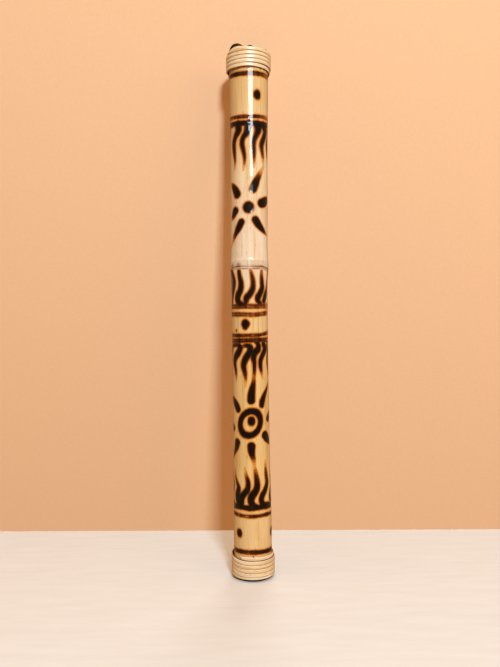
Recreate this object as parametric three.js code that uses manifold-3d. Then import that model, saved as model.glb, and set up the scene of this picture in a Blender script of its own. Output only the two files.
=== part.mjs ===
// A rain stick: a bamboo culm, bored through at its node and crossed by pegs in a rising
// spiral, with loose pebbles inside. A rubber head closes each mouth, bound down by wound cane.
// Sizes are in millimetres and bearings in degrees, turned from the front towards +X. +Z runs
// up the stick, its front faces -Y, and the origin is the middle of the foot.
import Module from 'manifold-3d';
import * as THREE from 'three';
import { mergeVertices } from 'three/addons/utils/BufferGeometryUtils.js';

const { degToRad, lerp, smoothstep } = THREE.MathUtils;

// Room left between pieces that touch
const CLEARANCE = 0.3;

// Culm: outside radii at the foot, in the two waists and at the upper end
const LENGTH = 750;
const FOOT_RADIUS = 27.2;
const LOWER_WAIST_RADIUS = 26.1;
const UPPER_WAIST_RADIUS = 26.8;
const UPPER_END_RADIUS = 28.1;
const FOOT_TAPER_START = 70;
const FOOT_TAPER_LENGTH = 120;
const UPPER_TAPER_DROP = 160;
const UPPER_TAPER_LENGTH = 120;
const BOW = 1.6;
const BORE_RADIUS = 21.4;
const RIM_ROUNDING = 2.5;
const CULM_SIDES = 48;
const CULM_STATION = 48;
const BORE_STATION = 125;

// Node: a swelling, a scar ridge between two grooves, and what is left of the diaphragm
const NODE_HEIGHT = 441;
const NODE_SWELL = 1.1;
const SWELL_ABOVE = 26;
const SWELL_BELOW = 14;
const SWELL_BLEND = 90;
const SCAR_WIDTH = 3.2;
const SCAR_RIDGE = 0.5;
const SCAR_GROOVE = 0.35;
const DIAPHRAGM_THICKNESS = 6;
const DIAPHRAGM_OPENING = 17;
const DIAPHRAGM_FILLET = 3;

// Pegs: driven in from outside, across the bore, each turned on from the one below
const PEG_RADIUS = 1.2;
const PEG_SHOULDER_RADIUS = 0.9;
const PEG_POINT = 9;
const PEG_RECESS = 0.25;
const PEG_TIP_GAP = 1;
const PEG_SIDES = 8;
const PEG_TURN = 40;
const PEG_FIRST_BEARING = 100;
const LOWER_PEGS = 22;
const UPPER_PEGS = 15;
const FIRST_PEG_HEIGHT = 55;
const LAST_PEG_DROP = 52;
const PEG_NODE_DISTANCE = 14;

// Pebbles: two rings, lying on the lower head
const PEBBLE_SIZE = 6.6;
const PEBBLE_FLATNESS = 0.82;
const PEBBLE_SPREAD = 0.06;
const PEBBLE_GAP = 1;
const OUTER_PEBBLES = 12;
const INNER_PEBBLES = 4;

// Rubber heads
const RUBBER_THICKNESS = 1.2;
const HEAD_SIDES = 48;
const RIM_ARC_STEPS = 3;
const PLEAT_REACH = 9;
const PLEATS = [
  { bearing: -50, halfWidth: 28, rise: 3.4 },
  { bearing: 4, halfWidth: 16, rise: 0.8 },
  { bearing: 57, halfWidth: 10, rise: 1 },
];

// Cane bindings: each turn lies level and steps down to the next over an arc on the left
const CANE_WIDTH = 5.1;
const CANE_THICKNESS = 1.9;
const CANE_GAP = 0.5;
const CANE_STEPS = 24;
const STEP_BEARING = -140;
const STEP_ARC = 120;
const LIFT_ARC = 60;
const TOP_TURNS = 5;
const FOOT_TURNS = 6;
const TOP_START_BEARING = -75;
const FOOT_START_BEARING = -40;
const END_ARC = 40;
const TOP_RIM_SHOWS = 0.4;
const FOOT_RIM_SHOWS = 2;

// Tacks: one at the free edge of each binding
const TACK_SHANK_RADIUS = 0.5;
const TACK_HEAD_RADIUS = 1;
const TACK_HEAD_THICKNESS = 0.5;
const TACK_DEPTH = 4;
const TACK_SIDES = 8;
const TOP_TACK_BEARING = 34;
const FOOT_TACK_BEARING = 0;

const bamboo = new THREE.MeshStandardMaterial({ color: 0xdfb272, roughness: 0.3 });
const pegWood = new THREE.MeshStandardMaterial({ color: 0xc9a468, roughness: 0.7 });
const cane = new THREE.MeshStandardMaterial({ color: 0xe6c491, roughness: 0.45 });
const rubber = new THREE.MeshStandardMaterial({ color: 0x1b1411, roughness: 0.6 });
const stone = new THREE.MeshStandardMaterial({ color: 0x8f867a, roughness: 0.8 });
const tackSteel = new THREE.MeshStandardMaterial({ color: 0x3b322b, roughness: 0.5, metalness: 0.8 });

const wasm = await Module();
wasm.setup();

function toSolid(geometry) {
  const bare = geometry.clone();
  bare.deleteAttribute('normal');
  bare.deleteAttribute('uv');
  const merged = mergeVertices(bare);
  return new wasm.Manifold(new wasm.Mesh({
    numProp: 3,
    vertProperties: new Float32Array(merged.attributes.position.array),
    triVerts: new Uint32Array(merged.index.array),
  }));
}

function toGeometry(solid) {
  const mesh = solid.getMesh();
  const geometry = new THREE.BufferGeometry();
  geometry.setAttribute('position', new THREE.BufferAttribute(mesh.vertProperties, 3));
  geometry.setIndex(new THREE.BufferAttribute(mesh.triVerts, 1));
  geometry.computeVertexNormals();
  return geometry;
}

// The culm's own shape, which every other piece follows

const culmFoot = RUBBER_THICKNESS + CLEARANCE;
const culmMouth = LENGTH - RUBBER_THICKNESS - CLEARANCE;

function bowAt(z) {
  return -BOW * Math.sin((Math.PI * z) / LENGTH) ** 2;
}

function culmRadius(z) {
  const upperTaper = LENGTH - UPPER_TAPER_DROP;
  const fromFoot = smoothstep(z, FOOT_TAPER_START, FOOT_TAPER_START + FOOT_TAPER_LENGTH);
  const pastNode = smoothstep(z, NODE_HEIGHT, NODE_HEIGHT + SWELL_BLEND);
  const toMouth = smoothstep(z, upperTaper, upperTaper + UPPER_TAPER_LENGTH);
  const lower = lerp(FOOT_RADIUS, LOWER_WAIST_RADIUS, fromFoot);
  const middle = lerp(lower, UPPER_WAIST_RADIUS, pastNode);
  const offset = z - NODE_HEIGHT;
  const reach = offset > 0 ? SWELL_ABOVE : SWELL_BELOW;
  return lerp(middle, UPPER_END_RADIUS, toMouth) + NODE_SWELL * Math.exp(-((offset / reach) ** 2));
}

function bendWithCulm(geometry) {
  const position = geometry.attributes.position;
  for (let i = 0; i < position.count; i += 1) {
    position.setX(i, position.getX(i) + bowAt(position.getZ(i)));
  }
  return geometry;
}

// A turned shape about the culm's axis, from points of radius and height
function turned(points, sides) {
  const profile = points.map(([radius, z]) => new THREE.Vector2(radius, z));
  return bendWithCulm(new THREE.LatheGeometry(profile, sides).rotateX(Math.PI / 2));
}

function evenHeights(from, to, spacing) {
  const steps = Math.ceil((to - from) / spacing);
  return Array.from({ length: steps + 1 }, (_, i) => from + ((to - from) * i) / steps);
}

// Puts something drawn along +Y on a line that crosses the culm's axis at a height
function aimAt(bearing, z) {
  const angle = degToRad(bearing);
  const outward = new THREE.Vector3(Math.sin(angle), -Math.cos(angle), 0);
  const turn = new THREE.Quaternion().setFromUnitVectors(new THREE.Vector3(0, 1, 0), outward);
  const place = new THREE.Vector3(bowAt(z), 0, z);
  return new THREE.Matrix4().compose(place, turn, new THREE.Vector3(1, 1, 1));
}

function drilled(radius, from, to, sides, bearing, z) {
  const drill = new THREE.CylinderGeometry(radius, radius, to - from, sides);
  return toSolid(drill.translate(0, (from + to) / 2, 0).applyMatrix4(aimAt(bearing, z)));
}

function radialMesh(profile, sides, bearing, z, material, name) {
  const points = profile.map(([radius, distance]) => new THREE.Vector2(radius, distance));
  const mesh = new THREE.Mesh(new THREE.LatheGeometry(points, sides), material);
  mesh.applyMatrix4(aimAt(bearing, z));
  mesh.name = name;
  return mesh;
}

// Pegs

function pegPlaces() {
  const lowerTop = NODE_HEIGHT - PEG_NODE_DISTANCE;
  const upperFoot = NODE_HEIGHT + PEG_NODE_DISTANCE;
  const upperTop = LENGTH - LAST_PEG_DROP;
  const lowerRise = (lowerTop - FIRST_PEG_HEIGHT) / (LOWER_PEGS - 1);
  const upperRise = (upperTop - upperFoot) / (UPPER_PEGS - 1);
  return Array.from({ length: LOWER_PEGS + UPPER_PEGS }, (_, i) => {
    const z = i < LOWER_PEGS
      ? FIRST_PEG_HEIGHT + i * lowerRise
      : upperFoot + (i - LOWER_PEGS) * upperRise;
    return { bearing: PEG_FIRST_BEARING + i * PEG_TURN, z };
  });
}

function makePeg({ bearing, z }, index) {
  const tip = PEG_TIP_GAP - BORE_RADIUS;
  const profile = [
    [0, tip],
    [PEG_SHOULDER_RADIUS, tip + PEG_POINT],
    [PEG_RADIUS, BORE_RADIUS - PEG_RADIUS],
    [PEG_RADIUS, culmRadius(z) - PEG_RECESS],
    [0, culmRadius(z) - PEG_RECESS],
  ];
  const name = `peg_${String(index + 1).padStart(2, '0')}`;
  return radialMesh(profile, PEG_SIDES, bearing, z, pegWood, name);
}

// Rubber heads: a disc over the mouth with its skirt turned back along the culm

const rubberRounding = RIM_ROUNDING + CLEARANCE + RUBBER_THICKNESS;
const canePitch = CANE_WIDTH + CANE_GAP;

function rimArc(radius, rounding, face) {
  return Array.from({ length: RIM_ARC_STEPS + 1 }, (_, i) => {
    const angle = (Math.PI / 2) * (i / RIM_ARC_STEPS);
    return [
      radius - rounding + rounding * Math.sin(angle),
      face + rounding - rounding * Math.cos(angle),
    ];
  });
}

// The profile of a head that lies face down, with the culm's mouth radius and its skirt's height
function headProfile(radius, skirt) {
  const inside = radius + CLEARANCE;
  const outside = inside + RUBBER_THICKNESS;
  const flat = outside - rubberRounding;
  return [
    [0, 0],
    [flat - PLEAT_REACH, 0],
    ...rimArc(outside, rubberRounding, 0),
    [outside, skirt],
    [inside, skirt],
    ...rimArc(inside, rubberRounding - RUBBER_THICKNESS, RUBBER_THICKNESS).reverse(),
    [flat - PLEAT_REACH, RUBBER_THICKNESS],
    [0, RUBBER_THICKNESS],
  ];
}

function makeFootHead() {
  const skirt = FOOT_RIM_SHOWS + (FOOT_TURNS - 1) * canePitch - CANE_GAP / 2;
  const head = new THREE.Mesh(turned(headProfile(FOOT_RADIUS, skirt), HEAD_SIDES), rubber);
  head.name = 'rubber_head_foot';
  return head;
}

function pleatRise(bearing) {
  return PLEATS.reduce((rise, pleat) => {
    const share = Math.min(1, Math.abs(bearing - pleat.bearing) / pleat.halfWidth);
    return rise + pleat.rise * Math.cos((share * Math.PI) / 2) ** 2;
  }, 0);
}

function makeTopHead() {
  const skirt = TOP_RIM_SHOWS + (TOP_TURNS - 1) * canePitch - CANE_GAP / 2;
  const profile = headProfile(UPPER_END_RADIUS, skirt).map(([radius, z]) => [radius, LENGTH - z]);
  const geometry = turned(profile.reverse(), HEAD_SIDES);
  const flat = UPPER_END_RADIUS + CLEARANCE + RUBBER_THICKNESS - rubberRounding;
  const position = geometry.attributes.position;
  for (let i = 0; i < position.count; i += 1) {
    const [x, y, z] = [position.getX(i), position.getY(i), position.getZ(i)];
    const nearRim = smoothstep(Math.hypot(x, y), flat - PLEAT_REACH, flat);
    const nearFace = smoothstep(z, LENGTH - rubberRounding, LENGTH);
    const bearing = (Math.atan2(x, -y) * 180) / Math.PI;
    position.setZ(i, z + pleatRise(bearing) * nearRim * nearFace);
  }
  const head = new THREE.Mesh(geometry, rubber);
  head.name = 'rubber_head_top';
  return head;
}

// Cane bindings: one strand each, cut along its length at both ends so that the binding's
// edges stay level

function rimInset(z) {
  const past = Math.max(0, rubberRounding - z, z - (LENGTH - rubberRounding));
  return rubberRounding - Math.sqrt(rubberRounding ** 2 - Math.min(past, rubberRounding) ** 2);
}

// Six points of the strand's section: two inside, one on each edge, two on its rounded back
function caneSection(radius, low, high, thickness) {
  const width = high - low;
  const back = radius + thickness;
  const edge = radius + thickness * 0.35;
  const highShoulder = high - width * 0.22;
  const lowShoulder = low + width * 0.22;
  return [
    [radius, low + width * 0.05],
    [edge, low],
    [back - rimInset(lowShoulder), lowShoulder],
    [back - rimInset(highShoulder), highShoulder],
    [edge, high],
    [radius, high - width * 0.05],
  ];
}

// The strand between two level edges, as rings of points from its start down to its end
function windCane({ top, turns, startBearing, liftAt }) {
  const bottom = top - turns * canePitch + CANE_GAP;
  const endBearing = STEP_BEARING + turns * 360 + END_ARC;
  const steps = Math.round(((endBearing - startBearing) * CANE_STEPS) / 360);
  const rings = [];
  for (let i = 0; i <= steps; i += 1) {
    const bearing = startBearing + ((endBearing - startBearing) * i) / steps;
    const pastStep = bearing - STEP_BEARING;
    const turn = Math.floor(pastStep / 360);
    const drop = turn - 1 + smoothstep(pastStep - turn * 360, 0, STEP_ARC);
    const high = Math.min(top, top - drop * canePitch);
    const low = Math.max(bottom, top - drop * canePitch - CANE_WIDTH);
    const nose = Math.min(1, 0.5 + 0.25 * Math.min(i, steps - i));
    const middle = (high + low) / 2;
    const half = ((high - low) / 2) * nose;
    const lift = liftAt(bearing) * (RUBBER_THICKNESS + CLEARANCE);
    const seat = (culmRadius(middle) + CLEARANCE + lift) / Math.cos(Math.PI / CANE_STEPS);
    const angle = degToRad(bearing);
    const section = caneSection(seat, middle - half, middle + half, CANE_THICKNESS * nose);
    rings.push(section.map(([radius, z]) => (
      new THREE.Vector3(radius * Math.sin(angle) + bowAt(z), -radius * Math.cos(angle), z)
    )));
  }
  return rings;
}

function leastGap(rings) {
  let least = Infinity;
  for (let i = 0; i < rings.length; i += 1) {
    for (let j = i + CANE_STEPS / 2; j < rings.length; j += 1) {
      for (const a of rings[i]) {
        for (const b of rings[j]) {
          least = Math.min(least, a.distanceTo(b));
        }
      }
    }
  }
  return least;
}

function tubeThrough(rings) {
  const sides = rings[0].length;
  const index = [];
  for (let i = 0; i + 1 < rings.length; i += 1) {
    for (let side = 0; side < sides; side += 1) {
      const next = (side + 1) % sides;
      const [a, b] = [i * sides + side, i * sides + next];
      const [c, d] = [a + sides, b + sides];
      index.push(a, c, b, b, c, d);
    }
  }
  const last = (rings.length - 1) * sides;
  for (let side = 1; side + 1 < sides; side += 1) {
    index.push(0, side, side + 1);
    index.push(last, last + side + 1, last + side);
  }
  const geometry = new THREE.BufferGeometry().setFromPoints(rings.flat());
  geometry.setIndex(index);
  geometry.computeVertexNormals();
  return geometry;
}

function makeBinding(name, winding) {
  const rings = windCane(winding);
  console.log(`${name}: ${winding.turns} loops, least gap to itself ${leastGap(rings).toFixed(2)} mm`);
  const binding = new THREE.Mesh(tubeThrough(rings), cane);
  binding.name = name;
  return binding;
}

// At the top the last turn comes down off the rubber's skirt. At the foot the first turn
// climbs on to it.
const topStepEnd = STEP_BEARING + STEP_ARC + (TOP_TURNS - 1) * 360;
const footStepStart = STEP_BEARING + 360;
const topWinding = {
  top: LENGTH - TOP_RIM_SHOWS,
  turns: TOP_TURNS,
  startBearing: TOP_START_BEARING,
  liftAt: (bearing) => 1 - smoothstep(bearing, topStepEnd, topStepEnd + LIFT_ARC),
};
const footWinding = {
  top: FOOT_RIM_SHOWS + FOOT_TURNS * canePitch - CANE_GAP,
  turns: FOOT_TURNS,
  startBearing: FOOT_START_BEARING,
  liftAt: (bearing) => smoothstep(bearing, footStepStart - LIFT_ARC, footStepStart),
};

// Tacks stand in the culm beside the strand, with their heads over its edge

const tackOffset = CLEARANCE + TACK_SHANK_RADIUS;
const tackPlaces = [
  {
    name: 'binding_tack_top',
    bearing: TOP_TACK_BEARING,
    z: topWinding.top - TOP_TURNS * canePitch + CANE_GAP - tackOffset,
  },
  { name: 'binding_tack_foot', bearing: FOOT_TACK_BEARING, z: footWinding.top + tackOffset },
];

function makeTack({ name, bearing, z }) {
  const headFace = culmRadius(z) + CANE_THICKNESS;
  const profile = [
    [0, culmRadius(z) - TACK_DEPTH],
    [TACK_SHANK_RADIUS, culmRadius(z) - TACK_DEPTH],
    [TACK_SHANK_RADIUS, headFace],
    [TACK_HEAD_RADIUS, headFace],
    [TACK_HEAD_RADIUS, headFace + TACK_HEAD_THICKNESS],
    [0, headFace + TACK_HEAD_THICKNESS],
  ];
  return radialMesh(profile, TACK_SIDES, bearing, z, tackSteel, name);
}

// Culm: turned, with the diaphragm knocked out to a ring and a hole for each peg and tack

function culmOutline() {
  const stations = evenHeights(culmFoot + RIM_ROUNDING, culmMouth - RIM_ROUNDING, CULM_STATION)
    .filter((z) => Math.abs(z - NODE_HEIGHT) > SCAR_WIDTH * 2)
    .map((z) => [culmRadius(z), z]);
  const scar = [
    [SCAR_WIDTH * 2, 0],
    [SCAR_WIDTH, -SCAR_GROOVE],
    [SCAR_WIDTH / 2, SCAR_RIDGE],
    [-SCAR_WIDTH / 2, SCAR_RIDGE],
    [-SCAR_WIDTH, -SCAR_GROOVE],
    [-SCAR_WIDTH * 2, 0],
  ].map(([offset, rise]) => [culmRadius(NODE_HEIGHT + offset) + rise, NODE_HEIGHT + offset]);
  const swell = [-SWELL_BELOW, -SWELL_BELOW / 2 - SCAR_WIDTH, SWELL_ABOVE / 2, SWELL_ABOVE]
    .map((offset) => [culmRadius(NODE_HEIGHT + offset), NODE_HEIGHT + offset]);
  const side = [...stations, ...scar, ...swell].sort((a, b) => a[1] - b[1]);
  const footRim = rimArc(FOOT_RADIUS, RIM_ROUNDING, culmFoot).slice(0, -1);
  const mouthRim = rimArc(UPPER_END_RADIUS, RIM_ROUNDING, 0)
    .slice(0, -1)
    .map(([radius, z]) => [radius, culmMouth - z])
    .reverse();
  return [...footRim, ...side, ...mouthRim];
}

function boreOutline() {
  const half = DIAPHRAGM_THICKNESS / 2;
  const fillet = half + DIAPHRAGM_FILLET;
  const bore = evenHeights(culmFoot, culmMouth, BORE_STATION)
    .filter((z) => Math.abs(z - NODE_HEIGHT) > fillet)
    .map((z) => [BORE_RADIUS, z]);
  const diaphragm = [
    [BORE_RADIUS, NODE_HEIGHT - fillet],
    [DIAPHRAGM_OPENING, NODE_HEIGHT - half],
    [DIAPHRAGM_OPENING, NODE_HEIGHT + half],
    [BORE_RADIUS, NODE_HEIGHT + fillet],
  ];
  return [...bore, ...diaphragm].sort((a, b) => b[1] - a[1]);
}

function makeCulm() {
  const outline = [...culmOutline(), ...boreOutline()];
  let solid = toSolid(turned([...outline, outline[0]], CULM_SIDES));
  for (const { bearing, z } of pegPlaces()) {
    const [from, to] = [BORE_RADIUS - PEG_RADIUS * 2, culmRadius(z) + PEG_RADIUS];
    solid = solid.subtract(drilled(PEG_RADIUS + CLEARANCE, from, to, PEG_SIDES, bearing, z));
  }
  for (const { bearing, z } of tackPlaces) {
    const [from, to] = [culmRadius(z) - TACK_DEPTH - CLEARANCE, culmRadius(z) + TACK_DEPTH];
    const hole = drilled(TACK_SHANK_RADIUS + CLEARANCE, from, to, TACK_SIDES, bearing, z);
    solid = solid.subtract(hole);
  }
  const culm = new THREE.Mesh(toGeometry(solid), bamboo);
  culm.name = 'bamboo_culm';
  return culm;
}

// Pebbles: rounded stones, no two alike, each lying on the lower head

function makePebble(radius, bearing, number) {
  const geometry = new THREE.IcosahedronGeometry(PEBBLE_SIZE / 2, 1);
  const position = geometry.attributes.position;
  const point = new THREE.Vector3();
  for (let i = 0; i < position.count; i += 1) {
    point.fromBufferAttribute(position, i);
    const around = point.clone().normalize();
    const swell = Math.sin(2.3 * around.x + number) * Math.cos(1.9 * around.y + 2 * number);
    point.multiplyScalar(1 - PEBBLE_SPREAD + PEBBLE_SPREAD * swell);
    position.setXYZ(i, point.x, point.y, point.z * PEBBLE_FLATNESS);
  }
  geometry.rotateZ(number * 2.4);
  geometry.computeBoundingBox();
  const angle = degToRad(bearing);
  const pebble = new THREE.Mesh(geometry, stone);
  const rest = RUBBER_THICKNESS + CLEARANCE - geometry.boundingBox.min.z;
  pebble.position.set(radius * Math.sin(angle), -radius * Math.cos(angle), rest);
  pebble.name = `pebble_${String(number).padStart(2, '0')}`;
  return pebble;
}

function makePebbles() {
  const outerRing = BORE_RADIUS - PEBBLE_GAP - PEBBLE_SIZE / 2;
  const innerRing = outerRing - PEBBLE_SIZE - PEBBLE_GAP;
  const outer = Array.from({ length: OUTER_PEBBLES }, (_, i) => (
    makePebble(outerRing, (i * 360) / OUTER_PEBBLES, i + 1)
  ));
  const inner = Array.from({ length: INNER_PEBBLES }, (_, i) => (
    makePebble(innerRing, ((i + 0.5) * 360) / INNER_PEBBLES, OUTER_PEBBLES + i + 1)
  ));
  return [...outer, ...inner];
}

const group = new THREE.Group();
group.add(
  makeCulm(),
  makeFootHead(),
  makeTopHead(),
  makeBinding('cane_binding_foot', footWinding),
  makeBinding('cane_binding_top', topWinding),
  ...tackPlaces.map(makeTack),
  ...pegPlaces().map(makePeg),
  ...makePebbles(),
);

export default group;
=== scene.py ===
import math
from functools import partial

import bpy
import numpy as np
from mathutils import Matrix, Vector


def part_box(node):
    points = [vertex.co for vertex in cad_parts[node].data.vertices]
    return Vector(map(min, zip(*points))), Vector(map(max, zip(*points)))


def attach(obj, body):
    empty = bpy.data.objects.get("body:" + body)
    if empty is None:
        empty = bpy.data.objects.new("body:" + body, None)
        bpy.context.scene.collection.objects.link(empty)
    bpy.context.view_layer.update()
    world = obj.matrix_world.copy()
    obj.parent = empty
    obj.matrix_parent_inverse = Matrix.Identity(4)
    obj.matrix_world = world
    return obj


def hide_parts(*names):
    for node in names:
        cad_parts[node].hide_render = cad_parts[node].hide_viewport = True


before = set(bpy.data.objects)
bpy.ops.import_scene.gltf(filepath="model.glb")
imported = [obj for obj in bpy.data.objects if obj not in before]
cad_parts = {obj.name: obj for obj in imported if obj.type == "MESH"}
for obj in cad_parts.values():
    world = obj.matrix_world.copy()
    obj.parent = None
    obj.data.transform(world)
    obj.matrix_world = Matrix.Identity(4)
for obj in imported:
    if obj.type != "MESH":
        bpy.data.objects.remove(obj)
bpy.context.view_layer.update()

# The bamboo culm: one length of bamboo with its node ring a little above the middle, scorched
# with bands, dots, flames, a star and a sun, then varnished. Every other piece but the pebbles is
# fixed to it.
# Sizes are in millimetres and bearings in degrees, turned from the front towards +X.

MM = 0.001
LENGTH = 750
CULM_FOOT = 1.5
RIM_ROUNDING = 2.5
BORE_RADIUS = 21.4
FOOT_RADIUS, LOWER_WAIST_RADIUS, UPPER_WAIST_RADIUS, UPPER_END_RADIUS = 27.2, 26.1, 26.8, 28.1
MEAN_RADIUS = 26.6
FOOT_TAPER, UPPER_TAPER = (70, 190), (590, 710)
BOW = 1.6
NODE_HEIGHT = 441
NODE_SWELL, SWELL_ABOVE, SWELL_BELOW, NODE_BLEND = 1.1, 26, 14, 90
DIAPHRAGM_OPENING = 17
CULM_SIDES = 160


def eased(value, low, high):
    share = np.clip((value - low) / (high - low), 0, 1)
    return share * share * (3 - 2 * share)


def bow_at(z):
    return -BOW * np.sin(np.pi * z / LENGTH) ** 2


def culm_radius(z):
    lower = FOOT_RADIUS + (LOWER_WAIST_RADIUS - FOOT_RADIUS) * eased(z, *FOOT_TAPER)
    middle = lower + (UPPER_WAIST_RADIUS - lower) * eased(z, NODE_HEIGHT, NODE_HEIGHT + NODE_BLEND)
    upper = middle + (UPPER_END_RADIUS - middle) * eased(z, *UPPER_TAPER)
    reach = np.where(z > NODE_HEIGHT, SWELL_ABOVE, SWELL_BELOW)
    return upper + NODE_SWELL * np.exp(-((z - NODE_HEIGHT) / reach) ** 2)


def hump(value, middle, reach):
    return np.exp(-((value - middle) / reach) ** 2)


# Strokes of the burning iron: (bearing, height, half width) from root to tip
FLAMES_DOWN_FROM_A = [
    [(-36, 643, 5.6), (-34, 634, 5.3), (-46, 626, 4.4), (-53, 617, 4.2), (-52, 608, 3.6),
     (-50, 600, 2.7), (-48, 591, 1.7), (-50, 580, 0.2)],
    [(0, 642, 5.8), (-6, 630, 4.7), (-18, 623, 3.5), (-22, 615, 3.3), (-18, 606, 2.9),
     (-14, 597, 2.2), (-14, 587, 1.3), (-18, 577, 0.1)],
    [(28, 641, 6.6), (29, 634, 5.2), (23, 627, 3.8), (16, 620, 3.4), (14, 612, 3),
     (15, 604, 2.6), (15, 594, 1.9), (15, 581, 0.1)],
    [(49, 642, 6.2), (58, 636, 5), (54, 628, 4.3), (42, 616, 3.9), (42, 608, 3.1),
     (46, 599, 2.2), (48, 587, 0.2)],
    [(76, 643, 3.5), (82, 632, 3.8), (72, 618, 3.4), (74, 604, 2.4), (76, 590, 0.3)],
    [(-80, 643, 3.8), (-84, 630, 3.4), (-92, 616, 3.2), (-88, 602, 2.4), (-86, 586, 0.3)],
]
PETALS_ROUND_A = [
    [(12, 550, 5.6), (18, 557, 5.6), (28, 567, 3.9), (39, 576, 2.2), (51, 585, 0.2)],
    [(-40, 544, 6), (-47, 550, 5.6), (-59, 557, 3.7), (-71, 562, 0.5)],
    [(40, 531, 6.4), (54, 534, 6.4), (70, 538, 4.4), (84, 541, 0.8)],
    [(-48, 521, 5.8), (-57, 515, 4.6), (-69, 509, 0.6)],
    [(-25, 504, 4.8), (-34, 497, 5.2), (-46, 489, 3.9), (-59, 480, 2.2), (-71, 471, 0.3)],
    [(19, 507, 5.4), (28, 501, 5.6), (39, 496, 4.4), (54, 491, 2.5), (70, 487, 0.4)],
]
FLAMES_DOWN_FROM_NODE = [
    [(-66, 435, 2.9), (-60, 427, 3.6), (-57, 419, 3.8), (-61, 409, 3.2), (-69, 398, 3),
     (-73, 388, 3)],
    [(-34, 434.5, 2.6), (-32, 427, 3.2), (-28, 418, 4), (-30, 409, 4.7), (-38, 402, 5.1),
     (-42, 396, 5.2), (-34, 390, 4.4), (-18, 387, 3)],
    [(3, 435.5, 1.3), (8, 427, 2.5), (11, 418, 3.1), (9, 409, 3.9), (0, 402, 4.4),
     (-10, 397, 4.5), (-12, 391, 3.4)],
    [(39, 435, 1.5), (40, 427, 2.5), (42, 419, 3.4), (43, 411, 4), (35, 404, 4.4),
     (27, 398, 4.8), (27, 393, 4), (37, 389, 2.6)],
    [(72, 435, 1.6), (73, 424, 2.2), (68, 411, 3.2), (58, 401, 4.2), (50, 393, 3.8)],
    [(104, 435, 1.8), (102, 426, 3), (106, 414, 3.9), (98, 403, 4.4), (90, 393, 4)],
]
FLAMES_DOWN_FROM_B = [
    [(-68, 330, 3.2), (-46, 331, 2.8), (-33, 328, 3.9), (-39, 321, 5), (-53, 314, 5),
     (-59, 307, 4.4), (-56, 300, 3.2), (-52, 292, 2.2), (-50, 280, 0.2)],
    [(-27, 328, 2), (-14, 330, 2.8), (-1, 328, 4.2), (-1, 321, 4.9), (-12, 314, 4.9),
     (-20, 307, 4.6), (-22, 300, 4.1), (-18, 291, 3), (-16, 282, 1.6), (-17, 272, 0.2)],
    [(13, 337, 2.4), (25, 332, 3.5), (25, 325, 4.7), (14, 320, 5), (10, 313, 4.2),
     (12, 305, 3.2), (12, 295, 2.5), (10, 286, 1.9)],
    [(46, 332, 3.9), (53, 325, 5), (43, 317, 4.1), (34, 309, 3.7), (33, 302, 3.4),
     (36, 294, 2.3), (40, 283, 0.2)],
    [(66, 332, 2.7), (72, 322, 3), (66, 308, 2.6), (70, 296, 2), (71, 282, 0.3)],
    [(92, 331, 3.4), (102, 324, 4.4), (94, 314, 4.4), (88, 304, 3.6), (92, 292, 2.2),
     (94, 276, 0.3)],
]
PETALS_ROUND_B = [
    [(1, 253, 5.8), (2, 262, 5.4), (6, 272, 4), (9, 279, 2.7), (10, 288, 1.7)],
    [(36, 246, 4.4), (39, 252, 4.9), (49, 261, 3.9), (62, 270, 2.4), (76, 280, 0.3)],
    [(-45, 240, 4.8), (-53, 246, 5.4), (-68, 253, 3.9), (-86, 259, 0.4)],
    [(65, 226, 4.9), (75, 231, 4.6), (92, 238, 0.6)],
    [(-72, 213, 4.9), (-80, 215, 4.6), (-94, 221, 0.6)],
    [(48, 203, 6.4), (59, 197, 5.4), (80, 188, 0.6)],
    [(-51, 193, 5.8), (-57, 185, 4.6), (-69, 176, 2.4), (-84, 166, 0.4)],
    [(-1, 189, 5.8), (-1, 181, 4.9), (4, 172, 3), (7, 164, 1.6), (8, 158, 1.1)],
]
FLAMES_UP_FROM_C = [
    [(-39, 105, 4.6), (-49, 112, 5.6), (-52, 120, 5.2), (-47, 129, 3.8), (-54, 137, 2.6),
     (-61, 145, 1.6), (-63, 156, 0.2)],
    [(-36, 107, 4.5), (-35, 116, 5), (-26, 122, 4.7), (-16, 128, 4), (-13, 137, 3.4),
     (-18, 147, 2.1), (-23, 159, 0.2)],
    [(18, 103, 3.6), (1, 107, 4.4), (-5, 114, 4.9), (1, 121, 5.2), (12, 128, 4.9),
     (15, 136, 4.2), (12, 148, 2.9), (8, 161, 1)],
    [(58, 105, 3.7), (36, 106, 4.2), (28, 112, 4.2), (31, 119, 4.3), (42, 126, 4.2),
     (52, 136, 3.6), (48, 151, 2.6), (46, 168, 0.2)],
    [(82, 105, 4), (70, 113, 4.4), (74, 122, 4.2), (84, 131, 3.6), (80, 144, 2.6),
     (78, 162, 0.3)],
    [(-76, 105, 4), (-86, 113, 4.6), (-84, 122, 4.4), (-76, 132, 3.2), (-82, 146, 2),
     (-86, 160, 0.3)],
]
DOTS = [
    (25, 683.5, 5.3, 6.9), (146, 682, 5.4, 6.6), (-96, 685, 5.2, 6.8),
    (-2, 524.3, 8, 8.4), (178, 525.5, 7.8, 8.6),
    (-15, 360.5, 5.8, 6.6), (104, 361, 5.6, 6.4), (-136, 359.5, 5.7, 6.7),
    (-45, 66.2, 4.9, 5.9), (74, 65.5, 4.9, 6.2), (-166, 66, 5, 6),
    (0.5, 224, 5.6, 7), (181, 222.5, 5.5, 6.8),
    (-48, 351.3, 1.1, 1.2), (131, 371, 0.9, 1.2),
]
DRIPS = [
    [(-15, 358.5, 4.9), (-15.5, 355.3, 3.4), (-16, 352, 0.9)],
    [(-10, 363.5, 2.6), (-7.5, 360.5, 3.2), (-10, 356.5, 2.4)],
]
RINGS = [(-3.5, 221, 15.4, 16.8, 4.3), (177, 220, 15.3, 17, 4.3)]

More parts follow.
